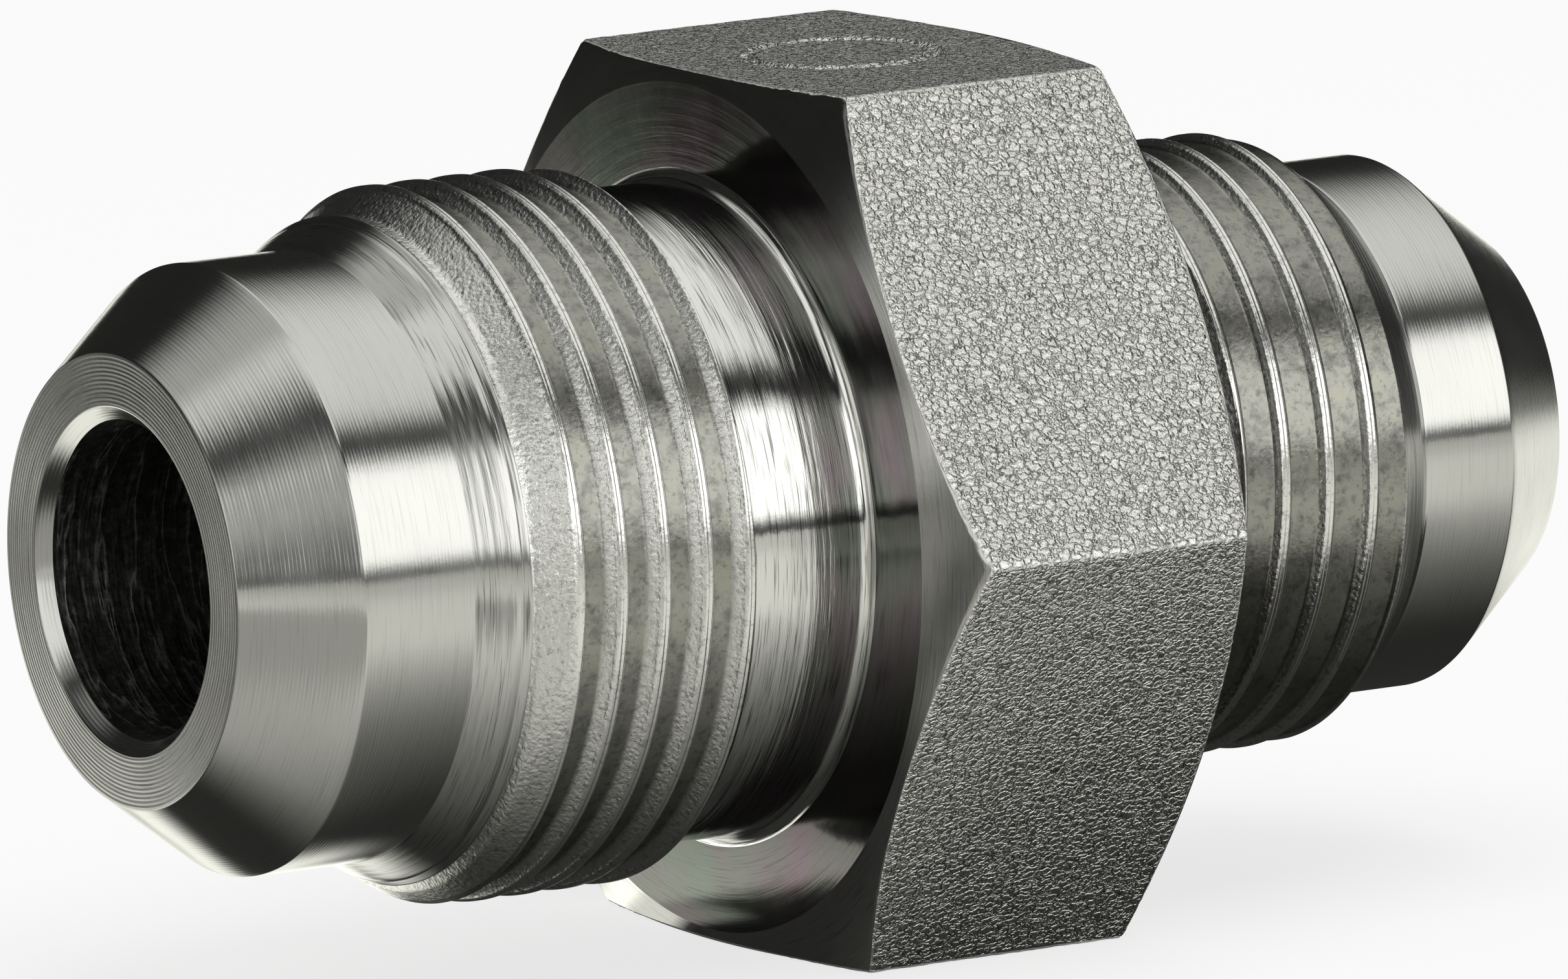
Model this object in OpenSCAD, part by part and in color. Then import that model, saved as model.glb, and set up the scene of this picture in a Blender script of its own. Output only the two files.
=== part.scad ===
// Straight hydraulic tube adapter with two different male flare ends, turned in one piece
// from hexagonal bar. It lies along X on the lower flat of its hexagon: front end at -X,
// rear end at +X, +Z up, origin below the middle of the part. Millimetres.

/* [Front end] */
// Front thread, diameter over the crests
front_thread_d = 22; // [18:0.05:26]
// Front thread pitch
front_pitch = 1.5; // [1:0.05:2.5]
// Front pilot diameter, in front of the thread
front_pilot_d = 18.7; // [16:0.05:20]
// Front pilot length, from cone to lead-in
front_pilot_len = 3.75; // [2:0.05:6]
// Front nose ring, outer diameter
front_nose_d = 14; // [12:0.05:16]
// Front lead-in, angle to the axis
front_lead_angle = 31; // [20:1:45]
// Front neck length, from thread to hexagon
front_neck_len = 4.1; // [2:0.05:6]
// Front end length, from nose to hexagon
front_len = 20.3; // [18:0.1:30]

/* [Rear end] */
// Rear thread, diameter over the crests
rear_thread_d = 19.05; // [17.5:0.05:24]
// Rear thread pitch
rear_pitch = 1.5875; // [1:0.0125:2.5]
// Rear pilot diameter, behind the thread
rear_pilot_d = 16.6; // [14:0.05:17]
// Rear pilot length, from cone to lead-in
rear_pilot_len = 3.2; // [2:0.05:5]
// Rear nose ring, outer diameter
rear_nose_d = 11.6; // [11:0.05:13]
// Rear lead-in, angle to the axis
rear_lead_angle = 36; // [20:1:45]
// Rear neck length, from thread to hexagon
rear_neck_len = 2.25; // [1.5:0.05:4]
// Rear end length, from nose to hexagon
rear_len = 16.6; // [14:0.1:24]

/* [Hexagon] */
// Hexagon across its flats
hex_af = 27; // [25:0.5:36]
// Hexagon length along the axis
hex_len = 11.1; // [6:0.1:20]
// Turned face ring on each side of the hexagon, outer diameter
hex_face_d = 26.2; // [24:0.1:27]
// Crown that the hexagon's corners are turned to on both sides, radius
hex_crown_r = 38; // [30:1:90]

/* [Shared forms] */
// Flare seat, half angle of the cone
seat_angle = 37; // [30:0.5:45]
// Bore through both ends
bore_d = 9.8; // [6:0.1:10.2]
// Bevel at each mouth of the bore, width on the radius
mouth_bevel = 0.42; // [0.1:0.02:0.5]
// Fillet between each neck and the hexagon's face
neck_fillet = 0.6; // [0.2:0.05:1.2]

/* [Hidden] */
$fn = 120;
steel = [0.62, 0.62, 0.6];
// share of the pitch that a 60 degree external thread is deep, and that its crest is wide
depth_share = 0.6134;
crest_share = 0.125;
flank_angle = 30;
front_depth = depth_share * front_pitch;
rear_depth = depth_share * rear_pitch;
total_len = front_len + hex_len + rear_len;
axis_z = hex_af / 2;
hex_corner_r = hex_af / 2 / cos(30);
front_face_x = front_len - total_len / 2;
rear_face_x = front_face_x + hex_len;
cut = 1;

// lay a form that stands on the Z axis along X, with its base at x
module along_x(x) {
    translate([x, 0, axis_z])
        rotate([0, 90, 0])
            children();
}

// one space between two crests of a thread, in half section: X is the radius, Y the axis
module thread_space(thread_d, pitch, depth) {
    crest_r = thread_d / 2;
    top_half = (1 - crest_share) * pitch / 2;
    root_half = top_half - depth * tan(flank_angle);
    rise = pitch / 4;
    rise_half = top_half + rise * tan(flank_angle);
    polygon([
        [crest_r - depth, -root_half],
        [crest_r + rise, -rise_half],
        [crest_r + rise, rise_half],
        [crest_r - depth, root_half]
    ]);
}

// concave fillet in the corner between a neck of radius r and a face at height y
module corner_fillet(r, y) {
    difference() {
        translate([r - neck_fillet, y - neck_fillet])
            square([2 * neck_fillet, neck_fillet]);
        translate([r + neck_fillet, y - neck_fillet])
            circle(neck_fillet);
    }
}

// half section of one male end: nose at y = 0, hexagon face at y = len
module end_section(thread_d, pitch, depth, pilot_d, pilot_len, nose_d, lead_angle, neck_len, len) {
    crest_r = thread_d / 2;
    root_r = crest_r - depth;
    cone_end = (pilot_d - nose_d) / 2 / tan(seat_angle);
    lead_start = cone_end + pilot_len;
    lead_end = lead_start + (thread_d - pilot_d) / 2 / tan(lead_angle);
    neck_start = len - neck_len;
    crest_end = neck_start - depth * tan(flank_angle);
    last_space = crest_end - (1 + crest_share) * pitch / 2;
    spaces = floor((last_space - lead_start) / pitch);
    difference() {
        polygon([
            [0, 0],
            [nose_d / 2, 0],
            [pilot_d / 2, cone_end],
            [pilot_d / 2, lead_start],
            [crest_r, lead_end],
            [crest_r, crest_end],
            [root_r, neck_start],
            [root_r, len + cut],
            [0, len + cut]
        ]);
        for (i = [0:spaces])
            translate([0, last_space - i * pitch])
                thread_space(thread_d, pitch, depth);
    }
    corner_fillet(root_r, len);
}

// front end, with its nose at the part's -X side
module front_end() {
    along_x(-total_len / 2)
        rotate_extrude()
            end_section(front_thread_d, front_pitch, front_depth, front_pilot_d, front_pilot_len,
                front_nose_d, front_lead_angle, front_neck_len, front_len);
}

// rear end, turned about so that its nose is at the part's +X side
module rear_end() {
    along_x(total_len / 2)
        mirror([0, 0, 1])
            rotate_extrude()
                end_section(rear_thread_d, rear_pitch, rear_depth, rear_pilot_d, rear_pilot_len,
                    rear_nose_d, rear_lead_angle, rear_neck_len, rear_len);
}

// half section of the bar after both crowns are turned: Y runs from face to face
module crown_section() {
    crown_y = sqrt(pow(hex_crown_r, 2) - pow(hex_face_d / 2, 2));
    intersection() {
        square([hex_corner_r + cut, hex_len]);
        translate([0, crown_y])
            circle(hex_crown_r);
        translate([0, hex_len - crown_y])
            circle(hex_crown_r);
    }
}

// hexagon with its corners turned off to a shallow crown on both sides
module hexagon() {
    along_x(front_face_x)
        intersection() {
            rotate([0, 0, 30])
                cylinder(h = hex_len, r = hex_corner_r, $fn = 6);
            rotate_extrude()
                crown_section();
        }
}

// bore from nose to nose, with a bevel at each mouth
module bore() {
    bore_r = bore_d / 2;
    along_x(-total_len / 2)
        rotate_extrude()
            polygon([
                [0, -cut],
                [bore_r + mouth_bevel + cut, -cut],
                [bore_r, mouth_bevel],
                [bore_r, total_len - mouth_bevel],
                [bore_r + mouth_bevel + cut, total_len + cut],
                [0, total_len + cut]
            ]);
}

module adapter_body() {
    color(steel)
        difference() {
            union() {
                front_end();
                rear_end();
                hexagon();
            }
            bore();
        }
}

adapter_body();
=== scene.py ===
"""Looks of the straight hydraulic adapter: turned, rolled and drawn steel in a pale studio.

Lengths are in millimetres until xyz() and rough() turn them into metres. s runs along the axis
from the front nose, r is the distance from the axis, and th turns round it: pi / 2 is the top and
pi the camera's side. Shader scales are per metre, because shader coordinates are in metres.
"""
import bpy
import itertools
import math
import numpy as np
from mathutils import Matrix, Vector


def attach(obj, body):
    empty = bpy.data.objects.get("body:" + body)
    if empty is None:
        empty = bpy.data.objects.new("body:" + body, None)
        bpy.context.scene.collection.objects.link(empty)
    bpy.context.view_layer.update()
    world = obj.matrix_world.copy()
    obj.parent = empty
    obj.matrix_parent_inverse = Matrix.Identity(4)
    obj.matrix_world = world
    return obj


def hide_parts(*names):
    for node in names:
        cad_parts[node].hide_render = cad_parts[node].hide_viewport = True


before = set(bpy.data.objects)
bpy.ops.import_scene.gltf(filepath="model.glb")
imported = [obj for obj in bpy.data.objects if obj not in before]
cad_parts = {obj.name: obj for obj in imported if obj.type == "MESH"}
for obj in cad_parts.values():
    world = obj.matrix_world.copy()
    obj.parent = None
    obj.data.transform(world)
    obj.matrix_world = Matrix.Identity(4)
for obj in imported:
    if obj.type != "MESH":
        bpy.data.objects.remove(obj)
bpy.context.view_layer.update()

MM = 0.001

# sizes of the whole part
TOTAL, AXIS_Z = 48.0, 13.5
FRONT_LEN, HEX_LEN = 20.3, 11.1
HEX_AF, FACE_R, CROWN_R = 27.0, 13.1, 38.0
SEAT_ANGLE = 37
SEAT = math.tan(math.radians(SEAT_ANGLE))
BORE_R, MOUTH = 4.9, 0.42
MOUTH_R = BORE_R + MOUTH
THREAD_DEPTH = 0.6134  # share of the pitch
FILLET = 0.38
RUN_OUT = math.tan(math.radians(58))
COLUMNS = 360

# small roundings of turned edges
EASE, NOSE_ROUND, NOSE_FLAT = 0.03, 0.07, 0.09
EDGE, EDGE_RISE, EDGE_DROP = 0.05, 0.04, 0.006


# ---- meshes -------------------------------------------------------------------------------------

def xyz(s, r, th):
    """Points in metres from the distance along the axis, the radius and the turn."""
    s, r, th = np.broadcast_arrays(s, r, th)
    return np.stack([s - TOTAL / 2, r * np.cos(th), AXIS_Z + r * np.sin(th)], -1) * MM


def grid_piece(name, co, material, closed, path=None, extra=None):
    """A mesh from a grid of points: rows along the profile, columns round the axis."""
    least_area = 1e-14
    rows, cols = co.shape[:2]
    i = np.arange(rows - 1)[:, None]
    j = np.arange(cols if closed else cols - 1)[None, :]
    k = (j + 1) % cols
    quads = np.stack([i * cols + j, i * cols + k, (i + 1) * cols + k, (i + 1) * cols + j], -1)
    quads = quads.reshape(-1, 4)
    flat = co.reshape(-1, 3)
    a, b, c, d = (flat[quads[:, n]] for n in range(4))
    area = np.linalg.norm(np.cross(c - a, d - b), axis=1)
    quads = quads[area > least_area]
    mesh = bpy.data.meshes.new(name)
    mesh.vertices.add(len(flat))
    mesh.vertices.foreach_set("co", flat.ravel())
    mesh.loops.add(len(quads) * 4)
    mesh.loops.foreach_set("vertex_index", quads.ravel())
    mesh.polygons.add(len(quads))
    mesh.polygons.foreach_set("loop_start", np.arange(len(quads)) * 4)
    mesh.polygons.foreach_set("use_smooth", np.ones(len(quads), bool))
    for key, values in {"path": path, **(extra or {})}.items():
        if values is not None:
            values = np.broadcast_to(values, (rows, cols)).astype(np.float32)
            mesh.attributes.new(key, "FLOAT", "POINT").data.foreach_set("value", values.ravel())
    mesh.update(calc_edges=True)
    mesh.validate()
    obj = bpy.data.objects.new(name, mesh)
    bpy.context.scene.collection.objects.link(obj)
    mesh.materials.append(material)
    return obj


def lathe(name, points, material, columns=COLUMNS):
    """Turn a smooth run of (s, r) points round the axis."""
    p = np.array(points, float)
    th = np.linspace(0, 2 * np.pi, columns, endpoint=False)
    path = np.concatenate([[0], np.cumsum(np.linalg.norm(np.diff(p, axis=0), axis=1))])
    # each piece starts at its own place in the texture, so that rings don't repeat
    start = p[0, 0] * 1.7 + p[0, 1] * 3.1
    co = xyz(p[:, 0][:, None], p[:, 1][:, None], th[None, :])
    return grid_piece(name, co, material, True, (path + start)[:, None])


def step(x, lo, hi):
    """Smooth rise from 0 at lo to 1 at hi, which may also lie below lo."""
    f = np.clip((x - lo) / (hi - lo), 0, 1)
    return f * f * (3 - 2 * f)


def run(a, b, n):
    """n + 1 points on the straight line from a to b."""
    return [(a[0] + (b[0] - a[0]) * t, a[1] + (b[1] - a[1]) * t) for t in np.linspace(0, 1, n + 1)]


def arc(cx, cy, r, a0, a1, n):
    """n + 1 points on the arc round (cx, cy) from a0 to a1 degrees."""
    turn = np.radians(np.linspace(a0, a1, n + 1))
    return [(cx + r * math.cos(t), cy + r * math.sin(t)) for t in turn]


def lattice_noise(p, size, seed):
    """Smooth value noise of the points p, 0 to 1, with cells of the given size."""
    primes = np.array([374761393, 668265263, 2147483647])
    q = p / size
    i = np.floor(q).astype(np.int64)
    f = q - i
    f = f * f * (3 - 2 * f)
    out = np.zeros(p.shape[:-1])
    for corner in itertools.product((0, 1), repeat=3):
        h = ((i + corner) * primes).sum(-1) + seed * 144665
        h = (h ^ (h >> 13)) * 1274126177 & 0xFFFFFFFF
        h = ((h ^ (h >> 16)) & 0xFFFF) / 65535.0
        out += np.where(corner, f, 1 - f).prod(-1) * h
    return out


# ---- materials ----------------------------------------------------------------------------------

class Tree:
    """Short hand for building the node tree of a material or of the world."""

    def __init__(self, owner):
        owner.use_nodes = True
        self.tree = owner.node_tree
        self.tree.nodes.clear()

    def add(self, kind, **values):
        node = self.tree.nodes.new(kind)
        for key, value in values.items():
            setattr(node, key, value)
        return node

    def link(self, a, b):
        self.tree.links.new(a, b)

    def feed(self, value, socket):
        """Set the socket to a plain value, or link an output to it."""
        if isinstance(value, (int, float, tuple)):
            socket.default_value = value
        else:
            self.link(value, socket)

    def math(self, operation, a, b=0.0, c=None, clamp=False):
        node = self.add("ShaderNodeMath", operation=operation, use_clamp=clamp)
        self.feed(a, node.inputs[0])
        self.feed(b, node.inputs[1])
        if c is not None:
            self.feed(c, node.inputs[2])
        return node.outputs[0]

    def mix(self, factor, a, b, blend="MIX"):
        """Colour a mixed with colour b by factor."""
        node = self.add("ShaderNodeMix", data_type="RGBA", blend_type=blend)
        self.feed(factor, node.inputs[0])
        self.feed(a, node.inputs[6])
        self.feed(b, node.inputs[7])
        return node.outputs[2]

    def attribute(self, name):
        return self.add("ShaderNodeAttribute", attribute_name=name).outputs["Fac"]


class Metal(Tree):
    """Node tree of one steel surface, with a Principled shader."""

    def __init__(self, name, color, roughness, anisotropic=0.0):
        self.material = bpy.data.materials.new(name)
        super().__init__(self.material)
        self.shader = self.add("ShaderNodeBsdfPrincipled")
        self.link(self.shader.outputs[0], self.add("ShaderNodeOutputMaterial").inputs["Surface"])
        s = self.shader.inputs
        s["Base Color"].default_value = color + (1,)
        s["Metallic"].default_value = 1.0
        s["Roughness"].default_value = roughness
        s["Anisotropic"].default_value = anisotropic
        if anisotropic:
            s["Anisotropic Rotation"].default_value = 0.25
            tangent = self.add("ShaderNodeTangent", direction_type="RADIAL", axis="X")
            self.link(tangent.outputs[0], s["Tangent"])
        self.position = self.add("ShaderNodeTexCoord").outputs["Object"]

    def finish(self, color, normal, roughness=None):
        """Link the finished colour, normal and roughness, and hand out the material."""
        self.link(color, self.shader.inputs["Base Color"])
        self.link(normal, self.shader.inputs["Normal"])
        if roughness is not None:
            self.link(roughness, self.shader.inputs["Roughness"])
        return self.material

    def noise(self, vector, scale, detail=2.0, rough=0.5, output="Fac"):
        node = self.add("ShaderNodeTexNoise")
        self.link(vector, node.inputs["Vector"])
        node.inputs["Scale"].default_value = scale
        node.inputs["Detail"].default_value = detail
        node.inputs["Roughness"].default_value = rough
        return node.outputs[output]

    def cells(self, vector, scale, feature):
        node = self.add("ShaderNodeTexVoronoi", feature=feature)
        self.link(vector, node.inputs["Vector"])
        node.inputs["Scale"].default_value = scale
        return node.outputs

    def ramp(self, value, stops):
        """Colour ramp from (position, colour) stops; a single number stands for a grey."""
        stops = [(at, col if isinstance(col, tuple) else (col,) * 3) for at, col in stops]
        node = self.add("ShaderNodeValToRGB")
        elements = node.color_ramp.elements
        elements[0].position, elements[0].color = stops[0][0], stops[0][1] + (1,)
        elements[1].position, elements[1].color = stops[-1][0], stops[-1][1] + (1,)
        for at, col in stops[1:-1]:
            elements.new(at).color = col + (1,)
        self.link(value, node.inputs[0])
        return node.outputs["Color"]

    def bump(self, height, distance, normal=None):
        """Normal from a height; the distance is in millimetres."""
        node = self.add("ShaderNodeBump")
        node.inputs["Distance"].default_value = distance * MM
        node.inputs["Strength"].default_value = 1.0
        self.link(height, node.inputs["Height"])
        if normal is not None:
            self.link(normal, node.inputs["Normal"])
        return node.outputs["Normal"]

    def along(self, path_scale, turn_scale):
        """Texture place that runs fast along the profile and slowly round it, per millimetre."""
        apart = self.add("ShaderNodeSeparateXYZ")
        self.link(self.position, apart.inputs[0])
        place = self.add("ShaderNodeCombineXYZ")
        self.link(self.math("MULTIPLY", self.attribute("path"), path_scale), place.inputs[0])
        for n in (1, 2):
            turn = self.math("MULTIPLY", apart.outputs[n], turn_scale * 1000)
            self.link(turn, place.inputs[n])
        return place.outputs[0]


def shade(color, share):
    return tuple(c * share for c in color)


def turned(name, color, roughness, feed, ring, streak, tint=None, scratch=0.5, lines=9.0, wave=0.2):
    """Bright turned steel: feed marks every feed mm along the profile, rings and fine scratches.

    ring and streak are the depths of the rings and of the flecks in mm, wave the share of the even
    feed marks, lines the uneven rings per mm, and scratch how dark the drawn lines are."""
    m = Metal(name, color, roughness, 0.75)
    feed_marks = m.math("SINE", m.math("MULTIPLY", m.attribute("path"), 2 * math.pi / feed))
    rings = m.noise(m.along(lines, 0.22), 1.0, 3.0, 0.6)
    height = m.math("ADD", m.math("MULTIPLY", feed_marks, wave), m.math("MULTIPLY", rings, 1.3))
    flecks = m.noise(m.position, 2600.0, 3.0, 0.6)
    normal = m.bump(flecks, streak, m.bump(height, ring))
    lined = m.ramp(m.noise(m.along(22.0, 0.5), 1.0, 2.0, 0.5), [(0.32, 1 - scratch), (0.44, 1.0)])
    clouds = m.noise(m.position, 300.0, 3.0, 0.5)
    base = m.ramp(clouds, tint or [(0.3, shade(color, 0.95)), (0.7, color)])
    worn = m.noise(m.position, 420.0, 4.0, 0.6)
    satin = m.math("MULTIPLY_ADD", worn, 0.1, roughness - 0.05)
    return m.finish(m.mix(1.0, base, lined, "MULTIPLY"), normal, satin)


def rolled(name, valley, ridge, roughness):
    """Rolled thread: olive satin valleys, grainy flanks and a smooth seamed crest.

    The mesh says where they are: "grain" is 1 on a flank, "rise" is 1 on the crest."""
    m = Metal(name, ridge, roughness, 0.3)
    flank = m.attribute("grain")
    above = m.math("SUBTRACT", m.attribute("rise"), 0.8, clamp=True)
    crest = m.math("MULTIPLY", above, 8.0, clamp=True)
    grains = m.cells(m.position, 6500.0, "F1")["Distance"]
    coarse = m.noise(m.position, 5200.0, 4.0, 0.65)
    share = m.math("MULTIPLY_ADD", m.math("SUBTRACT", flank, crest, clamp=True), 0.85, 0.15)
    height = m.math("SUBTRACT", coarse, m.math("MULTIPLY", grains, 0.35))
    normal = m.bump(m.math("MULTIPLY", height, share), 0.038)
    stain = m.noise(m.position, 1500.0, 4.0, 0.65)
    pale = (valley[0] * 1.08, valley[1] * 1.08, valley[2] * 0.98)
    olive = m.ramp(stain, [(0.32, shade(valley, 0.62)), (0.5, valley), (0.7, pale)])
    spots = m.ramp(m.noise(m.position, 4200.0, 3.0, 0.7), [(0.36, 0.5), (0.46, 1.0)])
    bright = m.math("MAXIMUM", flank, crest)
    color = m.mix(0.6, m.mix(bright, olive, ridge + (1,)), spots, "MULTIPLY")
    satin = m.math("MULTIPLY", m.math("SUBTRACT", 1.0, bright), 0.05)
    grainy = m.math("MULTIPLY_ADD", coarse, 0.16, roughness - 0.08)
    return m.finish(color, normal, m.math("ADD", grainy, satin))


def drawn(name, color, roughness):
    """Hexagon flats: crumpled bright grain drawn out along the bar, with painted shade in its thin
    crevices.

    The mesh attribute "worn" is 1 on the rubbed edges, which are coloured near white as partly real
    wear and partly a painted highlight."""
    m = Metal(name, color, roughness)
    shift = m.add("ShaderNodeVectorMath", operation="SCALE")
    m.link(m.noise(m.position, 4800.0, 3.0, 0.5, "Color"), shift.inputs[0])
    shift.inputs["Scale"].default_value = 0.00036
    warped = m.add("ShaderNodeVectorMath", operation="ADD")
    m.link(m.position, warped.inputs[0])
    m.link(shift.outputs[0], warped.inputs[1])
    stretched = m.add("ShaderNodeVectorMath", operation="MULTIPLY")
    m.link(warped.outputs[0], stretched.inputs[0])
    stretched.inputs[1].default_value = (0.6, 1.0, 1.0)
    place = stretched.outputs[0]
    own = m.add("ShaderNodeSeparateColor")
    m.link(m.cells(place, 4600.0, "F1")["Color"], own.inputs[0])
    rim = m.cells(place, 4600.0, "DISTANCE_TO_EDGE")["Distance"]
    fine = m.noise(place, 9000.0, 3.0, 0.6)
    height = m.math("MULTIPLY", m.math("MINIMUM", rim, 0.22), 2.2)
    height = m.math("ADD", height, m.math("MULTIPLY", fine, 0.5))
    height = m.math("ADD", height, m.math("MULTIPLY", own.outputs[0], 0.5))
    # painted shade: the crevices between the grains are coloured dark, as shade falls in them
    gaps = m.math("MULTIPLY_ADD", m.noise(m.position, 2600.0, 2.0, 0.5), 3.6, -0.6)
    crevice_shade = [(0.0, shade(color, 0.15)), (0.03, shade(color, 0.5)), (0.07, color)]
    base = m.ramp(m.math("MULTIPLY", rim, gaps), crevice_shade)
    base = m.mix(0.12, base, own.outputs[1], "MULTIPLY")
    worn = m.attribute("worn")
    # rubbed edges coloured near white: partly real wear, partly a painted highlight
    base = m.mix(worn, base, (0.97, 0.97, 0.96, 1))
    return m.finish(base, m.bump(height, 0.08), m.math("MULTIPLY_ADD", worn, 0.25, roughness))


def bored(name, color, roughness):
    """Drilled bore: coloured dark as painted shade inside the hole, with round scratches painted as
    white glints, and torn specks, the brightest of them painted glints.
    """
    m = Metal(name, color, roughness, 0.3)
    torn = m.noise(m.position, 3000.0, 3.0, 0.7)
    marks = m.noise(m.along(1.1, 0.16), 1.0, 3.0, 0.55)
    scratch = m.math("ABSOLUTE", m.math("SUBTRACT", marks, 0.5))
    sunk = m.math("MULTIPLY", m.math("MULTIPLY", scratch, 6.0, clamp=True), -1.0)
    height = m.math("ADD", sunk, m.math("MULTIPLY", torn, 0.6))
    # painted glints: the scratch lines are coloured near white; elsewhere the bore keeps its dark
    # colour, which is painted shade
    glint = m.ramp(scratch, [(0.0, (1.0, 1.0, 0.98)), (0.02, color), (1.0, color)])
    # torn specks vary the colour; the brightest, above the base colour, are painted glints
    specks_and_glints = m.ramp(torn, [(0.42, 0.5), (0.6, 1.0), (0.72, 1.6)])
    return m.finish(m.mix(1.0, glint, specks_and_glints, "MULTIPLY"), m.bump(height, 0.03))


BRIGHT = (0.62, 0.62, 0.61)
NOSE = turned(
    "steel_nose", (0.56, 0.56, 0.555), 0.22, 0.13, 0.0045, 0.001, scratch=0.3, wave=0.45,
    tint=[(0.3, (0.50, 0.50, 0.50)), (0.6, (0.58, 0.58, 0.57)), (0.8, (0.60, 0.57, 0.58))])
TURNED = turned("steel_turned", BRIGHT, 0.17, 0.12, 0.003, 0.0014, scratch=0.12, wave=0.22)
LEAD = turned("steel_lead", BRIGHT, 0.18, 0.3, 0.008, 0.001, lines=5.0)
NECK = turned(
    "steel_neck", (0.78, 0.78, 0.77), 0.12, 0.8, 0.01, 0.0015, scratch=0.7, lines=5.5)
# painted shade: the face is coloured dark, because in the picture it mirrors little and shows dark
# reflections; faint green and pink tints as there
FACE = turned(
    "steel_face", (0.14, 0.14, 0.138), 0.1, 0.5, 0.0012, 0.001, scratch=0.3,
    tint=[(0.3, (0.126, 0.154, 0.129)), (0.5, (0.143, 0.14, 0.134)), (0.7, (0.162, 0.126, 0.146))])
CROWN = turned("steel_crown", (0.56, 0.56, 0.55), 0.16, 0.7, 0.002, 0.001, scratch=0.25)
THREAD = rolled("steel_thread", (0.33, 0.328, 0.308), (0.8, 0.8, 0.785), 0.2)
FLATS = drawn("steel_flats", (0.93, 0.93, 0.915), 0.24)
# the bore's dark colour is painted shade inside the hole
BORE = bored("steel_bore", (0.26, 0.26, 0.25), 0.34)


# ---- threads ------------------------------------------------------------------------------------

# depth below the crest across half a ridge: a seam in the middle, a lip, and the shoulder
TOP_SHARES = np.array([0, 0.1, 0.24, 0.42, 0.58, 0.74, 0.88, 1.0])
TOP_DEPTHS = [0.026, 0.016, 0.0, 0.006, 0.028, 0.062, 0.105, 0.155]
SHOULDER = TOP_DEPTHS[-1]


def thread_top(x, w):
    """Depth below the crest at distance x from the ridge's middle, up to its half width w."""
    return np.interp(x, TOP_SHARES * w, TOP_DEPTHS)


def thread_rows(pitch, w, flank):
    """Places of the mesh rows round one ridge, close on the ridge and wide in the valley."""
    top = np.array([0, 0.1, 0.24, 0.34, 0.42, 0.5, 0.58, 0.66, 0.74, 0.81, 0.88, 0.94, 1.0]) * w
    foot = w + flank
    side = w + flank * np.array([0.33, 0.67, 1.0])
    key = np.concatenate([top, side, foot + np.array([0.03, 0.07, 0.12])])
    valley = np.linspace(foot + 0.12, pitch - foot - 0.12, 7)[1:-1]
    return np.concatenate([-key[:0:-1], key, valley])


def lower(a, b, soft):
    """The smaller of a and b, rounded where they meet."""
    h = np.clip(0.5 + 0.5 * (b - a) / soft, 0, 1)
    return b + (a - b) * h - soft * h * (1 - h)


def thread(name, s0, s1, pitch, crest_r, shape, crest_at, blank, first=None):
    """Ridge that winds from s0 to s1 like the one in the picture, cut to the blank's outline.

    shape is the ridge's half width at the top, the widths of its front flank and of its back, and
    the valley's depth. crest_at is where a crest passes on the camera's side. With first, ridges
    before that place are missing and the first flank is a long slope from a deeper floor."""
    fade, extra_floor, first_slope, soft = 0.5, 0.42, 0.8, 0.04
    w, flank, back, valley = shape
    th = np.linspace(0, 2 * np.pi, COLUMNS + 1)[None, :]
    lead = -pitch * (th - math.pi) / (2 * math.pi)
    k0 = math.floor((s0 - crest_at) / pitch) - 2
    k1 = math.ceil((s1 - crest_at) / pitch) + 2
    rows = thread_rows(pitch, w, flank)
    u = np.concatenate([crest_at + k * pitch + rows for k in range(k0, k1)])
    s = np.clip(np.unique(np.round(u, 6))[:, None] + lead, s0, s1)
    after = crest_at + np.ceil((s - lead - crest_at) / pitch) * pitch + lead
    before = after - pitch
    slope, back_slope = (valley - SHOULDER) / flank, (valley - SHOULDER) / back
    floor, made_after, made_before = valley, 1.0, 1.0
    if first is not None:
        made_after, made_before = (step(crest, first - fade, first) for crest in (after, before))
        floor = valley + extra_floor * (1 - made_before)
        steep = step(after, first + 1.0, first + 1.45)
        slope = first_slope + (slope - first_slope) * steep
    rising = thread_top(after - s, w) + np.maximum(after - s - w, 0) * slope
    falling = thread_top(s - before, w) + np.maximum(s - before - w, 0) * back_slope
    depth = lower(floor - np.maximum(floor - rising, 0) * made_after,
                  floor - np.maximum(floor - falling, 0) * made_before, soft)
    r = np.minimum(crest_r - depth, blank(s))
    rise = np.clip((r - crest_r + valley) / valley, 0, 1)
    on_front, on_back = (step(side, floor - 0.03, floor - 0.12) for side in (rising, falling))
    grain = np.maximum(np.maximum(on_front, 0.3 * on_back), 1 - made_before)
    return grid_piece(name, xyz(s, r, th), THREAD, False, s, {"rise": rise, "grain": grain})


# ---- front end ----------------------------------------------------------------------------------

F_PITCH, F_PILOT, F_NOSE, F_CREST = 1.5, 9.35, 7.0, 11.0
F_CONE = (F_PILOT - F_NOSE) / SEAT
F_LEAD = F_CONE + 3.75
F_ROOT = F_CREST - THREAD_DEPTH * F_PITCH
F_SLOPE = math.tan(math.radians(31))
F_T0, F_T1 = F_LEAD + 1.5, FRONT_LEN - 4.0
F_SHAPE = (0.23, 0.28, 0.1, 0.44)
F_CREST_AT, F_FIRST = 9.62, 9.2
F_START = math.tan(math.radians(60))


def front_blank(s):
    """Radius of the bar before the front thread is rolled: lead-in, start and run-out."""
    lead = F_PILOT + (s - F_LEAD) * F_SLOPE
    tail = F_ROOT + np.maximum(F_T1 - s, 0) * RUN_OUT
    start = F_ROOT + np.maximum(s - F_T0 - 0.12, 0) * F_START
    return np.minimum(np.minimum(lead, tail), np.minimum(start, F_CREST))


def on_lead_in(d):
    """Point of the front lead-in at distance d from its foot."""
    return F_LEAD + d, F_PILOT + d * F_SLOPE


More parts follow.
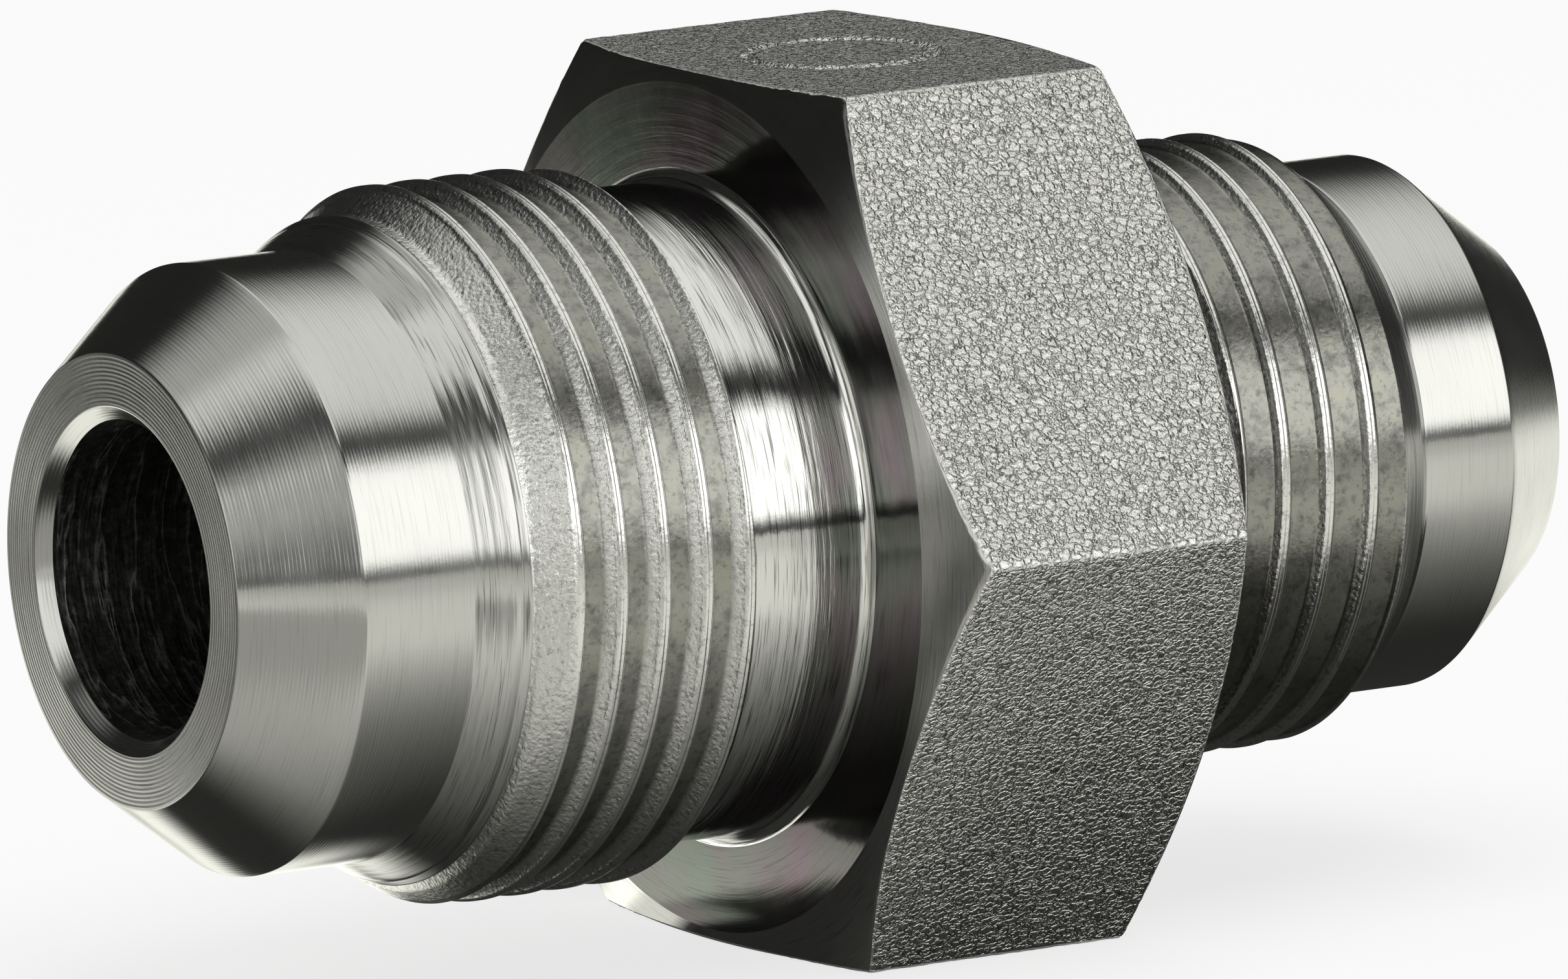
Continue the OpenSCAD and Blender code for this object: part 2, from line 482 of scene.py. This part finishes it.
mouth = run((MOUTH, BORE_R), (EASE, MOUTH_R - EASE), 3) + [(0.008, MOUTH_R), (0.0, MOUTH_R + EASE)]
round_x = NOSE_ROUND * math.sin(math.radians(SEAT_ANGLE))
round_r = NOSE_ROUND * math.cos(math.radians(SEAT_ANGLE))
nose_centre = F_NOSE - NOSE_ROUND
groove = [(F_LEAD + 1.23, on_lead_in(1.2)[1] - 0.02), on_lead_in(1.26)]
after_groove = run(on_lead_in(1.29), on_lead_in(1.46), 3)
lip_r = on_lead_in(1.46)[1]

pieces = [
    lathe("front_mouth", mouth, TURNED),
    lathe("front_nose",
          run((0, MOUTH_R + EASE), (0, F_NOSE - NOSE_FLAT), 12)
          + arc(NOSE_ROUND, nose_centre, NOSE_ROUND, 180, 90 + SEAT_ANGLE, 4), NOSE),
    lathe("front_cone",
          run((NOSE_ROUND - round_x + 0.002, nose_centre + round_r),
              (F_CONE - EDGE_RISE, F_PILOT - EDGE_RISE * SEAT), 14)
          + [(F_CONE, F_PILOT - EDGE_DROP), (F_CONE + EDGE, F_PILOT)], TURNED),
    lathe("front_pilot", run((F_CONE + EDGE, F_PILOT), (F_LEAD, F_PILOT), 14), TURNED),
    lathe("front_lead_in",
          run(on_lead_in(0), on_lead_in(1.2), 8) + groove + after_groove
          + [(F_T0, lip_r), (F_T0 + 0.03, F_ROOT + 0.06), (F_T0 + 0.05, F_ROOT)], LEAD),
    thread("front_thread", F_T0, F_T1, F_PITCH, F_CREST, F_SHAPE, F_CREST_AT, front_blank, F_FIRST),
    lathe("front_neck",
          run((F_T1, F_ROOT), (FRONT_LEN - FILLET, F_ROOT), 14)
          + arc(FRONT_LEN - FILLET, F_ROOT + FILLET, FILLET, 270, 360, 12)[1:], NECK),
    lathe("front_face", run((FRONT_LEN, F_ROOT + FILLET), (FRONT_LEN, FACE_R), 20), FACE),
]


# ---- hexagon ------------------------------------------------------------------------------------

HALF = HEX_AF / 2 * math.tan(math.radians(30))
ACROSS = np.linspace(-HALF, HALF, 125)
AT_CORNER = np.abs(ACROSS) == HALF
FACE_EDGE, CORNER_EDGE = 0.05, 0.04  # how far the worn edges sink
RING_R, RING_DEPTH = 2.9, 0.13
CROWN_TOP = math.sqrt(CROWN_R ** 2 - FACE_R ** 2)


def drop(r):
    """How far the domed crown lies behind the face at radius r."""
    return CROWN_TOP - np.sqrt(CROWN_R ** 2 - np.maximum(r, FACE_R) ** 2)


def rough(co, edge):
    """Sink the points towards the axis by the bar's coarse grain, and by edge mm of worn edge."""
    p = co * 1000
    grain = 0.55 * lattice_noise(p, 0.34, 3) + 0.3 * lattice_noise(p + 7.3, 0.17, 5)
    grain += 0.15 * lattice_noise(p, 1.3, 9)
    depth = np.clip(1.15 - 1.5 * grain, 0, 1) * 0.03
    depth += edge * (0.4 + 1.2 * lattice_noise(p, 0.15, 21))
    away = p - np.array([0, 0, AXIS_Z])
    away[..., 0] = 0
    away /= np.linalg.norm(away, axis=-1, keepdims=True)
    return (p - away * depth[..., None]) * MM


for k in range(6):
    th = math.radians(90 + 60 * k) + np.arctan2(ACROSS, HEX_AF / 2)
    r = np.hypot(ACROSS, HEX_AF / 2)
    f = np.linspace(0, 1, 101)[:, None]
    s = FRONT_LEN + drop(r) + (HEX_LEN - 2 * drop(r)) * f
    at_face = (f == 0) | (f == 1)
    edge = FACE_EDGE * at_face + CORNER_EDGE * AT_CORNER
    if k == 0:
        # a plain closed ring pressed into the top flat, with no meaning
        ring = np.hypot(s - FRONT_LEN - HEX_LEN / 2, ACROSS) - RING_R
        edge = edge + RING_DEPTH * step(np.abs(ring), 0.34, 0.14)
    co = rough(xyz(s, r[None, :], th[None, :]), edge)
    # 1 on the rubbed edges, which the flats' material colours near white: partly real wear, partly
    # a painted highlight
    worn = np.maximum(at_face, AT_CORNER)
    pieces.append(grid_piece("hex_flat_%d" % (k + 1), co, FLATS, False, None, {"worn": worn}))

side = ACROSS[:-1]
th = np.concatenate([math.radians(90 + 60 * k) + np.arctan2(side, HEX_AF / 2) for k in range(6)])
rim = np.concatenate([np.hypot(side, HEX_AF / 2)] * 6)
edge = FACE_EDGE + CORNER_EDGE * np.tile(AT_CORNER[:-1], 6)
r = FACE_R + (rim - FACE_R) * np.linspace(0, 1, 17)[:, None]
for name, s, order in (("front_crown", FRONT_LEN + drop(r), 1),
                       ("rear_crown", FRONT_LEN + HEX_LEN - drop(r), -1)):
    co = xyz(s, r, th[None, :])
    co[-1] = rough(co[-1], edge)
    pieces.append(grid_piece(name, co[::order], CROWN, True, r[::order]))


# ---- rear end -----------------------------------------------------------------------------------

R_PITCH, R_PILOT, R_NOSE, R_CREST = 1.5875, 8.3, 5.8, 9.525
R_CONE = TOTAL - (R_PILOT - R_NOSE) / SEAT
R_LEAD = R_CONE - 3.2
R_ROOT = R_CREST - THREAD_DEPTH * R_PITCH
R_FACE = FRONT_LEN + HEX_LEN
R_SLOPE = math.tan(math.radians(36))
R_SHAPE = (0.22, 0.13, 0.08, 0.27)
R_CREST_AT = 38.83
R_T0, R_T1 = R_FACE + 2.15, R_LEAD - (R_CREST - 0.27 - R_PILOT) / R_SLOPE


def rear_blank(s):
    """Radius of the bar before the rear thread is rolled: run-out and lead-in."""
    lead = R_PILOT + (R_LEAD - s) * R_SLOPE
    tail = R_ROOT + np.maximum(s - R_T0, 0) * RUN_OUT
    return np.minimum(np.minimum(lead, tail), R_CREST)


pieces += [
    lathe("rear_face", run((R_FACE, FACE_R), (R_FACE, R_ROOT + FILLET), 20), FACE),
    lathe("rear_neck",
          arc(R_FACE + FILLET, R_ROOT + FILLET, FILLET, 180, 270, 12)
          + run((R_FACE + FILLET, R_ROOT), (R_T0, R_ROOT), 8)[1:], NECK),
    thread("rear_thread", R_T0, R_T1, R_PITCH, R_CREST, R_SHAPE, R_CREST_AT, rear_blank),
    lathe("rear_lead_in",
          run((R_T1, rear_blank(np.array(R_T1)).item()), (R_LEAD, R_PILOT - EDGE), 4), LEAD),
    lathe("rear_pilot",
          [(R_LEAD, R_PILOT - EDGE), (R_LEAD + 0.02, R_PILOT - 0.02), (R_LEAD + 0.06, R_PILOT)]
          + run((R_LEAD + 0.1, R_PILOT), (R_CONE - EDGE, R_PILOT), 14), TURNED),
    lathe("rear_cone",
          [(R_CONE - EDGE, R_PILOT), (R_CONE, R_PILOT - EDGE_DROP)]
          + run((R_CONE + EDGE_RISE, R_PILOT - EDGE_RISE * SEAT),
                (TOTAL - 0.03, R_NOSE + 0.022), 14), TURNED),
    lathe("rear_nose",
          arc(TOTAL - NOSE_ROUND, R_NOSE - NOSE_ROUND, NOSE_ROUND, 90 - SEAT_ANGLE, 0, 4)
          + run((TOTAL, R_NOSE - NOSE_FLAT), (TOTAL, MOUTH_R + EASE), 8), NOSE),
    lathe("rear_mouth", [(TOTAL - s, r) for s, r in reversed(mouth)], TURNED),
    lathe("bore_wall", run((TOTAL - MOUTH, BORE_R), (MOUTH, BORE_R), 90), BORE, 180),
]

for piece in pieces:
    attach(piece, "root")
    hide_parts("adapter_body")


# ---- camera -------------------------------------------------------------------------------------

camera = bpy.data.objects.new("camera", bpy.data.cameras.new("camera"))
bpy.context.scene.collection.objects.link(camera)
# place, right and view direction from the outlines in the photograph
place = (-0.404495, -0.669672, 0.146470)
right = Vector((0.853538, -0.520299, -0.027595)).normalized()
look = Vector((0.509204, 0.844214, -0.167375)).normalized()
turn = Matrix((right, right.cross(look), -look)).transposed().to_4x4()
camera.matrix_world = Matrix.Translation(place) @ turn
camera.data.sensor_width = 36.0
camera.data.lens = 594.55
camera.data.clip_start, camera.data.clip_end = 0.05, 20.0
bpy.context.scene.camera = camera


# ---- studio -------------------------------------------------------------------------------------

def reflector(name, co, level, color):
    """A studio surface that only reflections see, so the metal gets its panels and dark flags."""
    material = bpy.data.materials.new(name)
    material.cycles.emission_sampling = "NONE"
    t = Tree(material)
    glow = t.add("ShaderNodeEmission")
    glow.inputs["Color"].default_value = color + (1,)
    t.link(t.attribute("level"), glow.inputs["Strength"])
    t.link(glow.outputs[0], t.add("ShaderNodeOutputMaterial").inputs["Surface"])
    obj = grid_piece(name, co, material, False, None, {"level": level})
    obj.visible_camera = obj.visible_diffuse = obj.visible_shadow = False
    obj.visible_transmission = False


# The tent above, by azimuth and elevation in degrees. Each step() gives the place where a panel's
# edge begins and the place where it is full. Levels are shares of white.
az, el = np.meshgrid(np.linspace(-180, 180, 241), np.linspace(-3, 90, 94))
back = step(np.abs(az - 75), 130, 60)
left = step(az, -115, -135) + step(az, 120, 150)
front_top = step(el, 46 + 5 * left, 52 + 5 * left)
back_top = step(el, 28 + 14 * step(az, 60, 90), 60)
dimmer = 1 - 0.4 * step(np.abs(az - 125), 50, 20)
level = 0.02 + 0.95 * (front_top * (1 - back) + back * back_top) * dimmer
for panel in (
        # bright side panel on the camera's side
        1.6 * step(az, -132, -125) * step(az, -25, -45) * step(el, 1, 6) * step(el, 41, 33),
        # low panel on the far left, brightest at its foot
        step(az, 148, 160) * (0.25 + 0.65 * step(el, 18, 8)) * step(el, 40, 30),
        # grey panel left of the side panel, and the bright one behind its edge
        0.36 * step(az, -120, -135) * step(el, 4, 24) * step(el, 45, 36),
        1.15 * step(az, -143, -150) * step(el, -3, 1) * step(el, 38, 30)):
    level = np.maximum(level, panel)
a, e = np.radians(az), np.radians(el)
tent = 0.9 * np.stack([np.cos(a) * np.cos(e), np.sin(a) * np.cos(e), np.sin(e)], -1)
reflector("tent", tent + np.array([0, 0, AXIS_Z * MM]), level, (1.0, 1.0, 0.95))

# The table as the metal sees it, by place in millimetres: pale in front, dark in the part's own
# shade, and lit from behind.
axis = np.sinh(np.linspace(-5.0, 5.0, 221)) / math.sinh(5.0) * 900
y, x = np.meshgrid(axis, axis)
under_hexagon = step(x + 0.5 * y, -6.5, -4) * step(x + 0.7 * y, 11, 5) * step(y, -30, -22)
away = np.hypot(1.3 * np.maximum(-x - 12, 0), y) - 31 * under_hexagon
pale = step(y, -1, -8) * step(away, 4, 38) * (0.75 + 0.25 * step(y, -160, -60))
level = 0.03 + 0.8 * pale * (1 - 0.5 * step(x, -26, -38) * step(y, -75, -62))
aside = step(np.degrees(np.arctan2(y, np.maximum(x, 1))), 28, 40)
rear_light = 0.95 + 0.4 * aside * step(x, 60, 100) - 0.85 * (1 - aside) * step(x, 80, 220)
lit = np.maximum(step(x, -13.5, -15.5), step(x, 32, 46) * rear_light)
edge = -2 + 5.5 * step(x, -16, -21)
behind = step(y, edge, edge + 5)
lit = 1.25 * lit * behind * (0.03 + 0.97 * np.maximum(step(y, 85, 45), step(x, 60, 120)))
# beyond the front nose it fades to what the nose ring mirrors
far = 0.11 * step(y, 112, 102) + 0.1 * step(y, 45, 22) + 0.4 * step(x + 0.5 * y, -28.5, -25)
lit = lit + (far * behind - lit) * step(x, -30, -44)
# light that falls between the front thread and the hexagon
gap = step(x, -7, -6) * step(x, -1, -2.5) * step(y, 1.5, 3) * step(y, 6.5, 5.5)
level = level + lit + gap
# the strip that the hexagon's front face mirrors, light and dark by turns
slant = y + 1.655 * x
wider = 8 * step(x, -30, -40)
strip = step(slant, -20 - wider, -18 - wider) * step(slant, 8, 2)
strip = strip * step(x, 0, -3) * step(y, 5.2, 6.5)
STRIP_X = [-86, -76, -73, -71, -69, -66, -63, -60.5, -57.7, -54.6, -51,
           -48, -45, -39, -33, -28, -24, -20, -16, -13, -8]
STRIP_LEVEL = [0.06, 0.2, 2.6, 6.0, 3.0, 1.0, 1.2, 1.8, 1.6, 0.5, 0.3,
               0.3, 1.5, 3.0, 3.0, 1.0, 0.2, 0.6, 1.8, 2.6, 3.4]
level = level + (0.52 * np.interp(x, STRIP_X, STRIP_LEVEL) - level) * strip
table = np.stack([x, y, np.full(x.shape, 0.1)], -1) * MM
reflector("table", table, level, (1.0, 1.0, 0.91))

# white where the camera or a reflection looks past everything, softer as a light
world = bpy.data.worlds.new("studio")
bpy.context.scene.world = world
t = Tree(world)
path = t.add("ShaderNodeLightPath").outputs
seen = t.math("ADD", path["Is Camera Ray"], path["Is Glossy Ray"], clamp=True)
seen = t.math("ADD", seen, path["Is Transmission Ray"], clamp=True)
background = t.add("ShaderNodeBackground")
background.inputs["Color"].default_value = (1, 1, 1, 1)
t.link(t.math("MULTIPLY_ADD", seen, 0.45, 0.55), background.inputs["Strength"])
t.link(background.outputs[0], t.add("ShaderNodeOutputWorld").inputs["Surface"])

lamp = bpy.data.lights.new("top_light", "AREA")
lamp.shape, lamp.size, lamp.size_y, lamp.energy = "RECTANGLE", 0.6, 0.6, 3.0
top_light = bpy.data.objects.new("top_light", lamp)
bpy.context.scene.collection.objects.link(top_light)
top_light.location = (0.05, -0.15, 0.7)
towards_part = Vector((0, 0, 0.013)) - top_light.location
top_light.rotation_euler = towards_part.to_track_quat("-Z", "Y").to_euler()
top_light.visible_glossy = False

# pale floor: part glow to the camera, so it stays near white and still takes the shadow
floor_mesh = bpy.data.meshes.new("floor")
floor_mesh.from_pydata([(-6, -6, 0), (6, -6, 0), (6, 6, 0), (-6, 6, 0)], [], [(0, 1, 2, 3)])
floor = bpy.data.objects.new("floor", floor_mesh)
bpy.context.scene.collection.objects.link(floor)
material = bpy.data.materials.new("floor")
t = Tree(material)
diffuse, glow = t.add("ShaderNodeBsdfDiffuse"), t.add("ShaderNodeEmission")
diffuse.inputs["Color"].default_value = (0.86, 0.86, 0.86, 1)
glow.inputs["Strength"].default_value = 1.0
both = t.add("ShaderNodeMixShader")
camera_ray = t.add("ShaderNodeLightPath").outputs["Is Camera Ray"]
t.link(t.math("MULTIPLY", camera_ray, 0.75), both.inputs["Fac"])
t.link(diffuse.outputs[0], both.inputs[1])
t.link(glow.outputs[0], both.inputs[2])
t.link(both.outputs[0], t.add("ShaderNodeOutputMaterial").inputs["Surface"])
floor_mesh.materials.append(material)

bpy.context.scene.view_settings.view_transform = "Standard"
